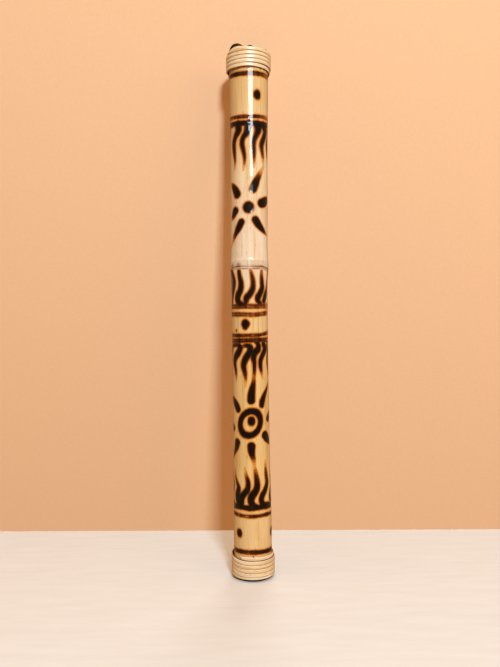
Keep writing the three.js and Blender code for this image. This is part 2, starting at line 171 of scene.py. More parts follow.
# Bands round the culm: (half width, darkness, {bearing: height})
BANDS = [
    (3, 0.34, {-180: 714, -120: 715.5, -72: 716, -41: 714, -16: 713, 23: 713.5, 72: 715,
                 120: 714}),
    (2.3, 0.32, {-180: 653, -120: 654.5, -66: 655, -37: 653, 2: 652, 47: 654, 73: 655,
                130: 653}),
    (3.7, 0.52, {-180: 643, -120: 645, -67: 645.5, -37: 644, 2: 642.3, 47: 644, 74: 645,
                130: 643.5}),
    (3, 0.3, {-180: 385, -83: 386, -27: 385, 26: 385, 74: 386.5, 130: 386}),
    (2.7, 0.29, {-180: 374.5, -87: 375, -27: 374, 10: 373, 42: 374.6, 73: 377, 130: 375.5}),
    (2.2, 0.3, {-180: 345.5, -89: 345, -28: 344, 31: 344.6, 72: 348, 130: 346}),
    (3.1, 0.3, {-180: 337, -89: 337, -28: 337, 25: 337.7, 72: 338, 130: 337.5}),
    (3.8, 0.58, {-180: 103.5, -73: 102.5, -36: 103.5, -9: 102.5, 30: 103.7, 73: 103,
                130: 103.5}),
    (2.2, 0.37, {-180: 91.5, -71: 92, -9: 91, 45: 92, 76: 91.3, 130: 91}),
    (2.9, 0.36, {-180: 41, -74: 40, -37: 41, 14: 41.2, 75: 40, 130: 41}),
]
# Each group of strokes, with how fast its core darkens and the half width that burns black
STROKES = [
    (FLAMES_DOWN_FROM_A, 0.6, 5.0), (FLAMES_DOWN_FROM_NODE, 0.65, 5.2),
    (FLAMES_DOWN_FROM_B, 0.75, 5.2), (FLAMES_UP_FROM_C, 0.8, 5.0),
    (PETALS_ROUND_A, 0.85, 6.6), (PETALS_ROUND_B, 0.9, 5.4), (DRIPS, 0.85, 4.4),
]
# How far a mark can be felt: a stroke up and down and round the culm, a dot, a ring, a band
STROKE_REACH, STROKE_ROUND, DOT_REACH, RING_REACH, BAND_REACH = 12, 34, 20, 40, 12
UNBURNT = -6.0
SURFACE_PER_DEGREE = MEAN_RADIUS * math.pi / 180


def smooth_path(points, steps=4):
    """A stroke's points, joined by a smooth curve."""
    ends = [points[0], *points, points[-1]]
    path = []
    for a, b, c, d in zip(ends, ends[1:], ends[2:], ends[3:]):
        for share in np.arange(steps) / steps:
            path.append([
                b[k] + 0.5 * share * (c[k] - a[k] + share * (
                    2 * a[k] - 5 * b[k] + 4 * c[k] - d[k]
                    + share * (3 * (b[k] - c[k]) + d[k] - a[k])))
                for k in range(3)
            ])
    return np.array([*path, points[-1]])


def across(bearing, middle):
    """How far round the surface each bearing lies from a middle one."""
    return ((bearing - middle + 180) % 360 - 180) * SURFACE_PER_DEGREE


def scorch(bearing, z):
    """How far each point lies inside the burnt marks, and how dark the mark there is."""
    depth = np.full(bearing.shape, UNBURNT)
    dark = np.full(bearing.shape, 1.0)

    def mark(where, inside, darkness, core=0.9, glow=0.8):
        inside = inside * np.where(inside > 0, core, glow)
        deeper = inside > depth[where]
        chosen = np.flatnonzero(where)[deeper]
        depth[chosen] = inside[deeper]
        dark[chosen] = np.broadcast_to(darkness, inside.shape)[deeper]

    def from_middle(middle, height, reach):
        where = np.abs(z - height) < reach
        return where, across(bearing[where], middle), z[where] - height

    chance = np.random.default_rng(11)
    for half_turn in (0, 180):
        for strokes, core, full_width in STROKES:
            for stroke in strokes:
                shift = chance.normal(0, 1, 3) * (half_turn > 0)
                path = smooth_path([
                    (b + half_turn + 1.5 * shift[0], h + shift[1],
                     w * (1 + 0.06 * shift[2]) + 0.4 * math.exp(-w))
                    for b, h, w in stroke
                ])
                low, high = path[:, 1].min() - STROKE_REACH, path[:, 1].max() + STROKE_REACH
                where = (z > low) & (z < high) & (
                    np.abs(across(bearing, path[:, 0].mean())) < STROKE_ROUND)
                inside = np.full(where.sum(), UNBURNT)
                width = np.full(where.sum(), 1.0)
                for (b0, h0, w0), (b1, h1, w1) in zip(path, path[1:]):
                    run, rise = (b1 - b0) * SURFACE_PER_DEGREE, h1 - h0
                    du, dz = across(bearing[where], b0), z[where] - h0
                    share = np.clip((du * run + dz * rise) / (run * run + rise * rise + 1e-9),
                                    0, 1)
                    gap = np.hypot(du - share * run, dz - share * rise)
                    here = w0 + share * (w1 - w0)
                    width = np.where(here - gap > inside, here, width)
                    inside = np.maximum(inside, here - gap)
                spread = 0.35 + 0.65 * np.clip(width / 3, 0, 1)
                mark(where, inside, np.clip(width / full_width - 0.2, -0.3, 1), core,
                     (0.8 * core + 0.2) / spread)
    for middle, height, half_width, half_height in DOTS:
        where, du, dz = from_middle(middle, height, DOT_REACH)
        reach = np.hypot(du / half_width, dz / half_height)
        mark(where, (1 - reach) * min(half_width, half_height), 1.0)
    for middle, height, half_width, half_height, stroke in RINGS:
        where, du, dz = from_middle(middle, height, RING_REACH)
        du, dz = du - 0.07 * dz, dz - 0.1 * du
        reach = np.hypot(du / half_width, dz / half_height)
        mark(where, stroke - np.abs(reach - 1) * half_width, 1.0)
    for half_width, darkness, heights in BANDS:
        at = np.interp(bearing, list(heights), list(heights.values()), period=360)
        where = np.abs(z - at) < BAND_REACH
        wander = 0.14 * np.sin(np.radians(bearing * 7 + at)) + 0.08 * np.sin(
            np.radians(bearing * 17 + 40))
        mark(where, (half_width + wander - np.abs(z - at))[where], darkness)
    return depth, dark


def turned(profile, sides):
    """A profile's radius, height and bearing in degrees, at each point round it."""
    radius, height = np.repeat(profile, sides, axis=0).T
    return radius, height, np.tile(np.arange(sides) * 360 / sides, len(profile))


def about_axis(radius, angle, height):
    """Points round the culm's bowed axis."""
    return np.stack([radius * np.sin(angle) + bow_at(height), -radius * np.cos(angle), height], 1)


def ring_faces(rings, sides, closed):
    """Quads between rings of points, which wind so that they face outward."""
    ring = np.arange(rings if closed else rings - 1)[:, None]
    side = np.arange(sides)[None, :]
    after = (ring + 1) % rings
    beside = (side + 1) % sides
    corners = [ring * sides + side, ring * sides + beside,
               after * sides + beside, after * sides + side]
    return np.stack(np.broadcast_arrays(*corners), axis=-1).reshape(-1, 4)


def closed_faces(rings, sides):
    """Quads between rings of points, with the first and the last ring closed across."""
    last = (rings - 1) * sides
    return [*ring_faces(rings, sides, False).tolist(), list(range(sides))[::-1],
            [last + i for i in range(sides)]]


def mesh_piece(name, points, faces, smooth=True):
    """A new object, in millimetres, at the origin."""
    mesh = bpy.data.meshes.new(name)
    mesh.from_pydata((np.asarray(points) * MM).tolist(), [], [list(map(int, f)) for f in faces])
    mesh.validate()
    if smooth:
        mesh.shade_smooth()
    piece = bpy.data.objects.new(name, mesh)
    bpy.context.scene.collection.objects.link(piece)
    return piece


def give_values(piece, name, values):
    """Keeps one number a point on the piece, for its material or its geometry tree."""
    piece.data.attributes.new(name, "FLOAT", "POINT").data.foreach_set(
        "value", np.ascontiguousarray(values, dtype=np.float32))


# Where the culm's outside is cut finer, and how far apart its rings of points are
NODE_ZONE = 430, 455
STATION, NODE_STATION = 1.38, 0.45


def rim(edge, face, rounding, degrees, way=1):
    """The round between a level face and an upright side, as radii and heights."""
    return [(edge - rounding * (1 - np.sin(a)), face + way * rounding * (1 - np.cos(a)))
            for a in np.radians(degrees)]


def culm_profile():
    """Radius and height up the outside and down the bore."""
    foot, mouth = CULM_FOOT, LENGTH - CULM_FOOT
    lower = np.arange(foot + RIM_ROUNDING, NODE_ZONE[0], STATION)
    ring = np.arange(*NODE_ZONE, NODE_STATION)
    upper = np.arange(NODE_ZONE[1], mouth - RIM_ROUNDING, STATION)
    side = np.concatenate([lower, ring, upper])
    arc = np.arange(0, 90, 22.5)
    foot_rim = rim(culm_radius(foot), foot, RIM_ROUNDING, arc)
    mouth_rim = rim(culm_radius(mouth), mouth, RIM_ROUNDING, arc, -1)[::-1]
    bore = [(BORE_RADIUS, z) for z in (mouth, 680, 600, 520, NODE_HEIGHT + 6)]
    bore += [(DIAPHRAGM_OPENING, NODE_HEIGHT + 3), (DIAPHRAGM_OPENING, NODE_HEIGHT - 3)]
    bore += [(BORE_RADIUS, z) for z in (NODE_HEIGHT - 6, 340, 240, 140, foot)]
    outside = [(culm_radius(z), z) for z in side]
    return np.array(foot_rim + outside + mouth_rim + bore), len(foot_rim), len(outside)


# The node's groove: how far it climbs at each bearing, and how dark its two lines are there
NODE_SWAY = {0: -1.3, 20: -0.8, 38: -0.3, 57: -1.6, 80: -4.3, 105: -3.4, 140: -1, 180: 0.4,
             220: 0.9, 250: -1.6, 270: -4, 285: -3.4, 299: -1.9, 316: -0.2, 340: -0.9}
NODE_UPPER_LINE = {0: 0.35, 8: 0.5, 20: 0.7, 42: 1, 50: 0.75, 62: 0.8, 80: 1, 120: 0.6,
                   150: 0.9, 190: 0.5, 230: 0.9, 270: 0.5, 292: 0.9, 302: 0.95, 308: 0.25,
                   316: 0.9, 328: 0.9, 336: 0.5}
NODE_LOWER_LINE = {0: 0.25, 10: 0.7, 26: 0.75, 34: 0.35, 60: 0.5, 80: 0.6, 110: 0.8, 160: 0.4,
                   200: 0.8, 240: 0.4, 290: 0.35, 320: 0.3, 338: 0.6, 350: 0.5}
# Its grooves and ridges: (depth or rise, height, reach)
NODE_GROOVES = (0.34, 441.6, 0.7), (0.28, 438.9, 0.7)
NODE_RIDGES = (0.45, 440.3, 0.8), (0.6, 446, 5.5), (0.15, 451, 1.3)
BURN_DEPTH, FULLY_BURNT = 0.28, 1.6


def smooth_round(bearing, values):
    """Values given at some bearings, carried smoothly round the circle."""
    fine = np.arange(0, 360, 2)
    rough = np.interp(fine, list(values), list(values.values()), period=360)
    soft = (np.roll(rough, 2) + 2 * np.roll(rough, 1) + 3 * rough + 2 * np.roll(rough, -1)
            + np.roll(rough, -2)) / 9
    return np.interp(bearing, fine, soft, period=360)


profile, first, count = culm_profile()
radius, height, bearing = turned(profile, CULM_SIDES)
outer = np.repeat((np.arange(len(profile)) >= first) & (np.arange(len(profile)) < first + count),
                  CULM_SIDES)
angle = np.radians(bearing)
level = height
wave = (smooth_round(bearing, NODE_SWAY) + 0.16 * np.sin(11 * angle) + 0.1 * np.sin(
    23 * angle)) * outer
height = height + wave * hump(height, 440, 9)
depth, dark = scorch(bearing, height)
depth[~outer] = UNBURNT
crevice = sum(cut * hump(level, at, reach) for cut, at, reach in NODE_GROOVES) * outer
radius = radius - crevice + outer * (
    sum(rise * hump(level, at, reach) for rise, at, reach in NODE_RIDGES)
    - BURN_DEPTH * np.clip(depth / FULLY_BURNT, 0, 1) * np.maximum(dark, 0))
culm = mesh_piece("culm", about_axis(radius, angle, height),
                  ring_faces(len(profile), CULM_SIDES, True))
give_values(culm, "burn", depth)
give_values(culm, "darkness", dark)
give_values(culm, "crevice", np.clip(
    hump(level, 441.8, 1.3) * smooth_round(bearing, NODE_UPPER_LINE) * 1.1
    + hump(level, 438.8, 1.1) * smooth_round(bearing, NODE_LOWER_LINE) * 1.1
    + 0.7 * hump(level, 445.3, 2.1) * hump(bearing, 298, 8)
    + 0.6 * hump(level, 445, 2.1) * hump(bearing, 326, 7)
    + 0.14 * eased(level, 451, 449.6) * eased(level, 440, 443),
    0, 1) * outer)


def plug(tree, made, inputs):
    """Gives a node its inputs: a socket is linked, and any other value is set."""
    for key, value in inputs.items():
        if isinstance(value, bpy.types.NodeSocket):
            tree.links.new(value, made.inputs[key])
        else:
            made.inputs[key].default_value = value


def node(tree, kind, inputs=None, **settings):
    made = tree.nodes.new(kind)
    for key, value in settings.items():
        setattr(made, key, value)
    plug(tree, made, inputs or {})
    return made


def maths(tree, operation, *values):
    return node(tree, "ShaderNodeMath", dict(enumerate(values)), operation=operation).outputs[0]


def sums_in(tree):
    """Adds, subtracts, multiplies, or does any other operation by its name, in one tree."""
    return [partial(maths, tree, *kind) for kind in (("ADD",), ("SUBTRACT",), ("MULTIPLY",), ())]


def apart(tree, vector):
    return node(tree, "ShaderNodeSeparateXYZ", {0: vector}).outputs


def together(tree, *parts):
    return node(tree, "ShaderNodeCombineXYZ", dict(enumerate(parts))).outputs[0]


def blended(tree, factor, under, over, blend_type="MIX"):
    return node(tree, "ShaderNodeMix", {0: factor, 6: under, 7: over}, data_type="RGBA",
                blend_type=blend_type).outputs[2]


def spanned(tree, value, low=0.0, high=1.0, least=0.0, most=1.0):
    """Carries a value from one span over to another, and holds it at the ends."""
    return node(tree, "ShaderNodeMapRange", {
        "Value": value, "From Min": low, "From Max": high, "To Min": least, "To Max": most,
    }).outputs[0]


def ramp(tree, value, stops):
    made = node(tree, "ShaderNodeValToRGB", {"Fac": value})
    for _ in range(len(stops) - 2):
        made.color_ramp.elements.new(0.5)
    for element, (position, colour) in zip(made.color_ramp.elements, stops):
        element.position = position
        element.color = colour if len(colour) == 4 else (*colour, 1)
    return made.outputs


def tone(red, green, blue, alpha=1):
    """A colour given as it shows on a screen, from 0 to 255."""
    parts = [c / 255 for c in (red, green, blue)]
    return (*(c / 12.92 if c <= 0.04045 else ((c + 0.055) / 1.055) ** 2.4 for c in parts), alpha)


def node_group(family, name, inputs, output):
    """A node group, its inputs and its output. An input of None is of the kind it is named."""
    tree = bpy.data.node_groups.new(name, family + "NodeTree")
    for title, value in inputs.items():
        kind = {int: "Int", float: "Float", tuple: "Vector"}.get(type(value), title)
        socket = tree.interface.new_socket(title, in_out="INPUT", socket_type="NodeSocket" + kind)
        if value is not None:
            socket.default_value = value
    kind = "Float" if output == "Value" else output
    tree.interface.new_socket(output, in_out="OUTPUT", socket_type="NodeSocket" + kind)
    return tree, tree.nodes.new("NodeGroupInput").outputs, tree.nodes.new("NodeGroupOutput").inputs


def use(tree, group, **inputs):
    named_inputs = {key.replace("_", " "): value for key, value in inputs.items()}
    return node(tree, "ShaderNodeGroup", named_inputs, node_tree=group).outputs


# Fibres: noise drawn out along one direction
fibres, given, made = node_group("Shader", "fibres", {
    "Place": (0, 0, 0), "Squeeze": (1, 1, 1), "Detail": 4.0}, "Value")
squeezed = node(fibres, "ShaderNodeVectorMath", {0: given["Place"], 1: given["Squeeze"]},
                operation="MULTIPLY")
grain = node(fibres, "ShaderNodeTexNoise", {
    "Vector": squeezed.outputs[0], "Scale": 1.0, "Detail": given["Detail"], "Roughness": 0.6})
fibres.links.new(grain.outputs[0], made["Value"])


def fibres_in(tree, place, squeeze, detail):
    return use(tree, fibres, Place=place, Squeeze=squeeze, Detail=detail)[0]


# Hairline cracks: a thin wavering line up the culm at one bearing, between two heights in metres
CRACK_END = 0.012
hairline, given, made = node_group("Shader", "hairline", {
    "Place": (0, 0, 0), "Bearing": 0.0, "Low": 0.0, "High": 1.0, "Half width": 0.2}, "Value")
add, less, times, calc = sums_in(hairline)
split = apart(hairline, given["Place"])
heading = calc("ARCTAN2", split[0], times(split[1], -1))
wander = node(hairline, "ShaderNodeTexNoise", {
    "W": times(split[2], 60), "Scale": 1, "Detail": 2}, noise_dimensions="1D")
drift = times(less(wander.outputs[0], 0.5), 0.05)
aim = add(calc("RADIANS", given["Bearing"]), drift)
away = times(calc("ABSOLUTE", less(heading, aim)), MEAN_RADIUS)
thin = spanned(hairline, away, given["Half width"], 0.0)
above = spanned(hairline, split[2], given["Low"], add(given["Low"], CRACK_END))
below = spanned(hairline, split[2], given["High"], less(given["High"], CRACK_END))
hairline.links.new(times(thin, times(above, below)), made["Value"])


def finish_named(name):
    """A new material, its tree and its surface shader."""
    material = bpy.data.materials.new(name)
    material.use_nodes = True
    tree = material.node_tree
    return material, tree, tree.nodes["Principled BSDF"]


def object_place(tree):
    return node(tree, "ShaderNodeTexCoord").outputs["Object"]


def value_of(tree, attribute):
    return node(tree, "ShaderNodeAttribute", attribute_name=attribute).outputs["Fac"]


def bumped(tree, height, strength, distance):
    return node(tree, "ShaderNodeBump", {
        "Height": height, "Strength": strength, "Distance": distance}).outputs[0]


varnished_bamboo, tree, surface = finish_named("varnished bamboo")
add, less, times, calc = sums_in(tree)
place = object_place(tree)
up = apart(tree, place)[2]
wide_grain = fibres_in(tree, place, (160, 160, 5), 3)
fine_grain = fibres_in(tree, place, (900, 900, 14), 5)
cloud = fibres_in(tree, place, (34, 34, 11), 2)
fleck = fibres_in(tree, place, (620, 620, 95), 2)
# The wood's tone from the foot to the upper end, with its grain over it. The whitish stretch
# just above the node is partly the wood's own tone and partly a painted broad highlight.
tone_with_painted_highlight = ramp(tree, calc("DIVIDE", up, LENGTH * MM), [
    (0.06, tone(234, 201, 150)), (0.227, tone(231, 196, 134)), (0.36, tone(230, 196, 136)),
    (0.49, tone(229, 197, 145)), (0.6, tone(238, 223, 204)), (0.68, tone(238, 219, 194)),
    (0.76, tone(236, 213, 176)), (0.92, tone(222, 187, 133)),
])[0]
streaks = ramp(tree, wide_grain, [
    (0.32, (0.8, 0.66, 0.46)), (0.48, (1, 0.98, 0.94)), (0.68, (1, 1, 1))])[0]
threads = ramp(tree, fine_grain, [(0.3, (0.82, 0.68, 0.5)), (0.55, (1, 1, 1))])[0]
tinted = blended(tree, 0.75, tone_with_painted_highlight, streaks, "MULTIPLY")
tinted = blended(tree, 0.6, tinted, threads, "MULTIPLY")
tinted = blended(tree, spanned(tree, cloud, 0.5, 0.75, 0, 0.35), tinted, tone(214, 150, 78))
tinted = blended(tree, spanned(tree, fleck, 0.67, 0.75, 0, 0.6), tinted, tone(120, 76, 34))
CRACKS = (-43, 0.322, 0.398), (23.5, 0.326, 0.396), (118, 0.05, 0.19), (-152, 0.56, 0.7)
cracks = 0.0
for at, low, high in CRACKS:
    cracks = calc("MAXIMUM", cracks, use(
        tree, hairline, Place=place, Bearing=at, Low=low, High=high, Half_width=0.5)[0])
tinted = blended(tree, times(cracks, 0.85), tinted, tone(104, 58, 24))
tinted = blended(tree, value_of(tree, "crevice"), tinted, tone(118, 60, 18))

# The burn: a ragged edge that glows brown, and a core that is darker where the iron stayed
ragged = add(times(less(fine_grain, 0.5), 1.6), times(less(wide_grain, 0.5), 1.4))
burn = add(value_of(tree, "burn"), ragged)
scorched = fibres_in(tree, place, (70, 70, 420), 4)
uneven = add(less(cloud, 0.5), less(add(times(scorched, 0.4), times(wide_grain, 0.3)), 0.35))
limit = spanned(tree, add(value_of(tree, "darkness"), uneven), 0, 1, -1, 4)
charred = ramp(tree, spanned(tree, calc("MINIMUM", burn, limit), -3, 4), [
    (0.08, tone(228, 160, 64, 0)), (0.22, tone(222, 146, 44, 0.45)),
    (0.32, tone(202, 120, 28, 0.84)), (0.41, tone(152, 78, 16, 0.97)),
    (0.47, tone(100, 46, 9, 1)), (0.54, tone(48, 20, 5, 1)), (0.63, tone(20, 8, 3, 1)),
    (0.8, tone(8, 3, 2, 1)),
])
tinted = blended(tree, charred[1], tinted, charred[0])
plug(tree, surface, {
    "Base Color": tinted, "Specular IOR Level": 0.04,
    "Roughness": spanned(tree, add(charred[1], fine_grain), 0.3, 1.6, 0.3, 0.42),
    "Normal": bumped(tree, add(fine_grain, times(cracks, -2.0)), 0.25, 0.0002),
    "Coat Weight": 1.0, "Coat Roughness": 0.04, "Coat IOR": 1.36})
culm.data.materials.append(varnished_bamboo)
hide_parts("bamboo_culm")
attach(culm, "stick")

# The pegs: whittled bamboo pins, pushed in through the wall in a rising spiral so that they
# cross the bore. Each tapers to a point, and its outer end is cut off flush under the varnish.

# The first peg's bearing and each one's turn on from the last, then the two runs of pegs below
# and above the node: (pegs below them, pegs, lowest height, rise)
FIRST_BEARING, PEG_TURN = 100, 40
PEG_RUNS = (0, 22, 55, 372), (22, 15, 455, 243)
PEG_PLACES = [(FIRST_BEARING + PEG_TURN * (below + i), lowest + i * rise / (count - 1))
              for below, count, lowest, rise in PEG_RUNS for i in range(count)]
PEG_TIP_GAP, PEG_RECESS = 1, 0.35
USUAL_PEG_LENGTH = 0.04

whittled_bamboo, tree, surface = finish_named("whittled bamboo")
shavings = fibres_in(tree, object_place(tree), (1400, 1400, 1400), 4)
plug(tree, surface, {
    "Base Color": ramp(tree, shavings, [
        (0.3, tone(150, 112, 62)), (0.5, tone(198, 160, 104)), (0.75, tone(222, 190, 136)),
    ])[0],
    "Roughness": spanned(tree, shavings, 0, 1, 0.6, 0.85),
    "Normal": bumped(tree, shavings, 0.5, 0.0002)})


def end_tree(tree, geometry, material, made):
    whole = node(tree, "GeometryNodeRealizeInstances", {0: geometry})
    painted = node(tree, "GeometryNodeSetMaterial", {
        "Geometry": whole.outputs[0], "Material": material})
    tree.links.new(painted.outputs[0], made["Geometry"])


def named(tree, attribute):
    return node(tree, "GeometryNodeInputNamedAttribute", {"Name": attribute},
                data_type="FLOAT").outputs[0]


def worked_out(piece, tree, **sizes):
    """Runs a geometry tree on a piece and keeps what it makes as a plain mesh."""
    modifier = piece.modifiers.new("shape", "NODES")
    modifier.node_group = tree
    sockets = {s.name: s.identifier for s in tree.interface.items_tree if s.in_out == "INPUT"}
    for title, value in sizes.items():
        modifier[sockets[title.replace("_", " ")]] = value
    evaluated = piece.evaluated_get(bpy.context.evaluated_depsgraph_get())
    mesh = bpy.data.meshes.new_from_object(evaluated)
    piece.modifiers.remove(modifier)
    piece.data = mesh
    mesh.shade_smooth()
    return piece


peg_tree, given, made = node_group("Geometry", "pegs", {
    "Geometry": None, "Sides": 10, "Radius": 0.0012, "Point length": 0.009, "Material": None},
    "Geometry")
pin = node(peg_tree, "GeometryNodeMeshCylinder", {
    "Vertices": given["Sides"], "Side Segments": 12, "Radius": given["Radius"], "Depth": 1.0})
held = node(peg_tree, "GeometryNodeInputPosition").outputs[0]
along = apart(peg_tree, held)
less, times, calc = sums_in(peg_tree)[1:]
point = calc("DIVIDE", given["Point length"], USUAL_PEG_LENGTH)
taper = spanned(peg_tree, along[2], -0.5, less(point, 0.5), 0.12, 1.0)
slim = together(peg_tree, times(along[0], taper), times(along[1], taper), along[2])
pin = node(peg_tree, "GeometryNodeSetPosition", {
    "Geometry": pin.outputs[0], "Position": slim})
lie = together(peg_tree, math.pi / 2, 0, named(peg_tree, "turn"))
grow = together(peg_tree, 1, 1, named(peg_tree, "reach"))
pins = node(peg_tree, "GeometryNodeInstanceOnPoints", {
    "Points": given["Geometry"], "Instance": pin.outputs[0], "Rotation": lie, "Scale": grow})
end_tree(peg_tree, pins.outputs[0], given["Material"], made)

at, z = np.array(PEG_PLACES).T
tip, head = PEG_TIP_GAP - BORE_RADIUS, culm_radius(z) - PEG_RECESS
pegs = mesh_piece("pegs", about_axis((tip + head) / 2, np.radians(at), z), [])
give_values(pegs, "turn", np.radians(at))
give_values(pegs, "reach", (head - tip) * MM)
worked_out(pegs, peg_tree, Material=whittled_bamboo)
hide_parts(*[f"peg_{i + 1:02d}" for i in range(len(PEG_PLACES))])
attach(pegs, "stick")

# The pebbles: water-worn gravel, poured in before the last head goes on. Nothing holds them:
# they lie on the lower head and rattle down past the pegs when the stick is turned over.

PEBBLES = 16

river_stone, tree, surface = finish_named("river stone")
place = object_place(tree)
mottle = fibres_in(tree, place, (700, 700, 700), 5)
veins = fibres_in(tree, place, (150, 260, 900), 3)
stone = ramp(tree, mottle, [
    (0.3, tone(88, 80, 72)), (0.5, tone(146, 136, 122)), (0.7, tone(190, 178, 160))])[0]
plug(tree, surface, {
    "Base Color": blended(tree, spanned(tree, veins, 0.55, 0.75, 0, 0.7), stone,
                          tone(124, 92, 66)),
    "Roughness": spanned(tree, mottle, 0, 1, 0.55, 0.85),
    "Normal": bumped(tree, mottle, 0.4, 0.0003)})

pebble_tree, given, made = node_group("Geometry", "pebble", {
    "Geometry": None, "Seed": 1, "Unevenness": 0.22, "Material": None}, "Geometry")
ball = node(pebble_tree, "GeometryNodeMeshIcoSphere", {"Radius": 1.0, "Subdivisions": 4})
held = node(pebble_tree, "GeometryNodeInputPosition").outputs[0]
lump = node(pebble_tree, "ShaderNodeTexNoise", {
    "Vector": held, "W": given["Seed"], "Scale": 0.9, "Detail": 2.0}, noise_dimensions="4D")
less, times = sums_in(pebble_tree)[1:3]
pull = less(1.0, times(lump.outputs[0], given["Unevenness"]))
worn = node(pebble_tree, "ShaderNodeVectorMath", {0: held, "Scale": pull}, operation="SCALE")
ball = node(pebble_tree, "GeometryNodeSetPosition", {
    "Geometry": ball.outputs[0], "Position": worn.outputs[0]})
end_tree(pebble_tree, ball.outputs[0], given["Material"], made)

# Each worn ball is fitted to the box of the pebble that it stands for
for number in range(1, PEBBLES + 1):
    name = f"pebble_{number:02d}"
    low, high = (np.array(corner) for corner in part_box(name))
    pebble = worked_out(mesh_piece(f"stone_{number:02d}", [(0, 0, 0)], []), pebble_tree,
                        Seed=number, Material=river_stone)
    shape = np.empty(len(pebble.data.vertices) * 3)
    pebble.data.vertices.foreach_get("co", shape)
    shape = shape.reshape(-1, 3)
    least, most = shape.min(0), shape.max(0)
    shape = low + (shape - least) * (high - low) / (most - least)
    pebble.data.vertices.foreach_set("co", shape.ravel())
    pebble.data.update()
    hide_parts(name)
    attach(pebble, name)

# The rubber heads: a round of black sheet rubber stretched over each mouth and turned down
# along the culm, where the cane grips it. At the top it puckers, and its pleats stand up.

RUBBER = 1.2
CLEARANCE = 0.3
CANE_PITCH = 5.6
TOP_TURNS, FOOT_TURNS = 5, 6
TOP_RIM_SHOWS, FOOT_RIM_SHOWS = 0.4, 2
SKIRT_GAP = 0.25
HEAD_SIDES = 192
RUBBER_ROUNDING = RIM_ROUNDING + CLEARANCE + RUBBER
EDGE_CHAMFER = 0.3
# The pleats: (bearing, half width in degrees, fullness, height as a share of the plain fold's)
PLEATS = ((-43, 31, 1.0, 2.6), (4, 14, 0.7, 1.1), (57, 9, 0.68, 1.1))
PLEAT_REACH, PLEAT_FOLD, PLEAT_RISE = 9, 2.9, 3.1
PUCKER, SAG = 0.22, 0.5

sheet_rubber, tree, surface = finish_named("sheet rubber")
place = object_place(tree)
dust = fibres_in(tree, place, (90, 90, 90), 4)
skin = fibres_in(tree, place, (1600, 1600, 1600), 3)
plug(tree, surface, {
    "Base Color": ramp(tree, dust, [
        (0.35, tone(16, 11, 10)), (0.6, tone(24, 17, 15)), (0.8, tone(44, 34, 29)),
    ])[0],
    "Roughness": spanned(tree, dust, 0, 1, 0.42, 0.78), "Specular IOR Level": 0.3,
    "Normal": bumped(tree, skin, 0.3, 0.0002)})


def head_profile(mouth_radius, skirt):
    """Radius and height of a head that lies face down: its face, rim, skirt and inside."""
    inside = mouth_radius + CLEARANCE
    outside = inside + RUBBER
    arc = np.linspace(0, 90, 9)
    face = [(r, 0) for r in (1.5, 6, 11, 14, 17, 19.5, 21.5, 23)]
    outer = face + rim(outside, 0, RUBBER_ROUNDING, arc)
    outer += [(outside, z) for z in np.arange(6, skirt - 0.4, 2)]
    edge = [(outside, skirt - EDGE_CHAMFER), (outside - EDGE_CHAMFER, skirt),
            (inside + EDGE_CHAMFER, skirt), (inside, skirt - EDGE_CHAMFER)]
    inner = [(inside, 6)] + rim(inside, RUBBER, RIM_ROUNDING + CLEARANCE, arc)[::-1]
    back = [(r, RUBBER) for r in (21.5, 17, 11, 6, 1.5)]
    return np.array(outer + edge + inner + back)


def rubber_head(name, profile, flip, lift):
    """A turned sheet, closed at its middle on both faces."""
    r, z, b = turned(profile, HEAD_SIDES)
    b = np.radians(b)
    r, z = lift(r, z, b)
    z = LENGTH - z if flip else z
    faces = closed_faces(len(profile), HEAD_SIDES)
    if flip:
        faces = [f[::-1] for f in faces]
    return mesh_piece(name, about_axis(r, b, z), faces)


def foot_lift(r, z, b):
    """Small gathers round the foot's skirt."""
    gather = 0.12 * np.sin(23 * b + 1) * eased(z, 3, 12)
    return r - np.abs(gather), z


# The rim's round carried out over the cane's edge, where a pleat stands at its full height
RIM_HEIGHTS = [0, 0.08, 0.3, 0.67, 1.17, 1.78, 2.47, 3.22, 4]
PLEAT_RADII = [25.6, 27.2, 28.8, 30.3, 31.2, 31.5, 31.0, 29.9, 29.6]
PLEAT_HEIGHTS = [-2.9, -3.2, -3.25, -2.9, -2.2, -1.4, -0.8, -0.4, 1.2]


def top_lift(r, z, b):
    """Pleats and puckers at the upper head's rim, and a face that sags a little."""
    outside = UPPER_END_RADIUS + CLEARANCE + RUBBER
    flat = outside - RUBBER_ROUNDING
    near_rim = eased(r, flat - PLEAT_REACH, flat)
    face = z < 0.01
    degrees = (np.degrees(b) + 180) % 360 - 180
    fold, rise = 0, 0
    for at, half, share, tall in PLEATS:
        pleat = share * np.cos(np.clip(np.abs(degrees - at) / half, 0, 1) * np.pi / 2) ** 0.7
        fold = fold + pleat
        rise = rise + pleat * (tall - 1)
    rim = (r >= flat - 0.01) & (np.hypot(r - flat, z - RUBBER_ROUNDING) > 3.4) & (
        z < RUBBER_ROUNDING + 0.01)
    pucker = PUCKER * (np.sin(13 * b) + np.sin(29 * b + 2) * 0.6) * near_rim
    sag = SAG * (1 - eased(r, 4, 22))
    over = np.interp(z, RIM_HEIGHTS, PLEAT_RADII), np.interp(z, RIM_HEIGHTS, PLEAT_HEIGHTS)
    extra = PLEAT_RISE * rise * (1 - np.clip(z / RUBBER_ROUNDING, 0, 1))
    lifted = z + (np.abs(pucker) + sag) * face - (PLEAT_FOLD * fold + extra) * near_rim * face
    return (np.where(rim, r + fold * (over[0] - r), r),
            np.where(rim, z + fold * (over[1] - z) - extra + np.abs(pucker) * (1 - fold) * face,
                     lifted))


